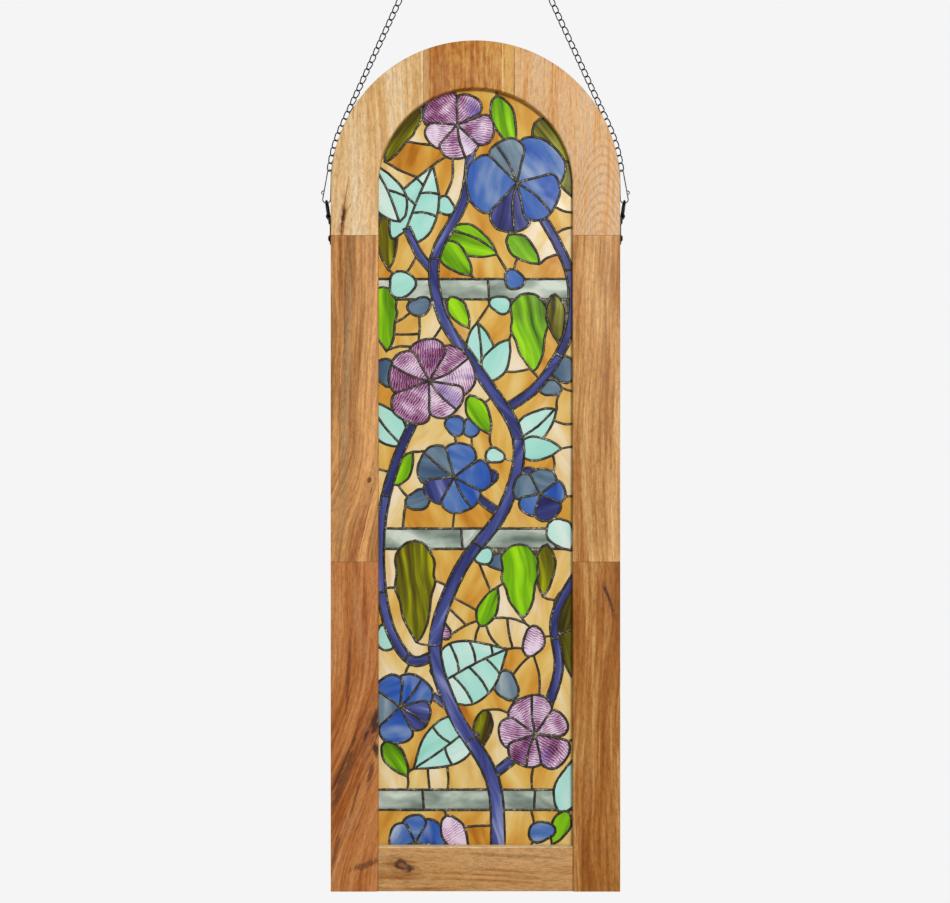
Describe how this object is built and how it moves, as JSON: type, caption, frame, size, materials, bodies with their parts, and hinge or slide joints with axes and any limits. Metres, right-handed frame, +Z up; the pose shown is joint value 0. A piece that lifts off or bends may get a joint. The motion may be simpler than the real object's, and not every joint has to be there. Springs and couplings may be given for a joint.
{
  "type": "stained glass window panel",
  "caption": "Tall arched panel of leaded opalescent glass showing a climbing plant on a trellis, in a glued wooden frame that hangs from a two-legged chain.",
  "frame": {"origin": "top of the inside of the hanging ring, where it bears on its hook", "axes": "+X to the right and -Y towards the viewer, seen from the front; +Z up, along the panel's height"},
  "size_m": [0.3314, 0.02, 1.1507],
  "materials": {
    "oiled_wood": "satin oiled hardwood, brown with darker streaks and knots",
    "soldered_lead": "blackened solder with a dull shine",
    "blackened_steel": "blackened steel",
    "spring_wire": "plain grey spring wire",
    "glass_amber": "opalescent, cream to amber streaks",
    "glass_grey_green": "opalescent, marbled grey-green",
    "glass_indigo": "opalescent, streaky indigo",
    "glass_blue": "opalescent, streaky blue",
    "glass_purple": "rippled purple and pink",
    "glass_mint": "opalescent, wispy mint",
    "glass_green": "mottled leaf green",
    "glass_olive": "streaky olive and brown"
  },
  "bodies": {
    "root": {"arch_board_crown": "oiled_wood", "arch_board_left": "oiled_wood", "arch_board_right": "oiled_wood", "bottom_rail": "oiled_wood", "chain_left": "blackened_steel", "chain_right": "blackened_steel", "d_ring_left": "blackened_steel", "d_ring_right": "blackened_steel", "glass_blossom_blue_low_1": "glass_blue", "glass_blossom_blue_middle_1": "glass_blue", "glass_blossom_blue_right_1": "glass_blue", "glass_blossom_blue_top_1": "glass_blue", "glass_blossom_purple_low_1": "glass_purple", "glass_blossom_purple_middle_1": "glass_purple", "glass_blossom_purple_top_1": "glass_purple", "glass_ground_1": "glass_amber", "glass_ground_10": "glass_amber", "glass_ground_11": "glass_amber", "glass_ground_12": "glass_amber", "glass_ground_13": "glass_amber", "glass_ground_14": "glass_amber", "glass_ground_15": "glass_amber", "glass_ground_2": "glass_amber", "glass_ground_3": "glass_amber", "glass_ground_4": "glass_amber", "glass_ground_5": "glass_amber", "glass_ground_6": "glass_amber", "glass_ground_7": "glass_amber", "glass_ground_8": "glass_amber", "glass_ground_9": "glass_amber", "glass_leaf_green_long_1": "glass_green", "glass_leaf_green_low_1": "glass_green", "glass_leaf_mint_foot_1": "glass_mint", "glass_leaf_mint_low_1": "glass_mint", "glass_leaf_olive_long_1": "glass_olive", "glass_leaves_green_top_1": "glass_green", "glass_leaves_mint_high_1": "glass_mint", "glass_leaves_mint_middle_1": "glass_mint", "glass_leaves_mint_top_1": "glass_mint", "glass_rail_high_1": "glass_grey_green", "glass_rail_high_2": "glass_grey_green", "glass_rail_low_1": "glass_grey_green", "glass_rail_low_2": "glass_grey_green", "glass_rail_middle_1": "glass_grey_green", "glass_rail_middle_2": "glass_grey_green", "glass_vine_1": "glass_indigo", "glass_vine_2": "glass_indigo", "hanging_ring": "blackened_steel", "leading": "soldered_lead", "plate_screw_left": "blackened_steel", "plate_screw_right": "blackened_steel", "stile_lower_left": "oiled_wood", "stile_lower_right": "oiled_wood", "stile_upper_left": "oiled_wood", "stile_upper_right": "oiled_wood", "strap_plate_left": "blackened_steel", "strap_plate_right": "blackened_steel", "wire_clip_left": "spring_wire", "wire_clip_right": "spring_wire"}
  },
  "joints": []
}
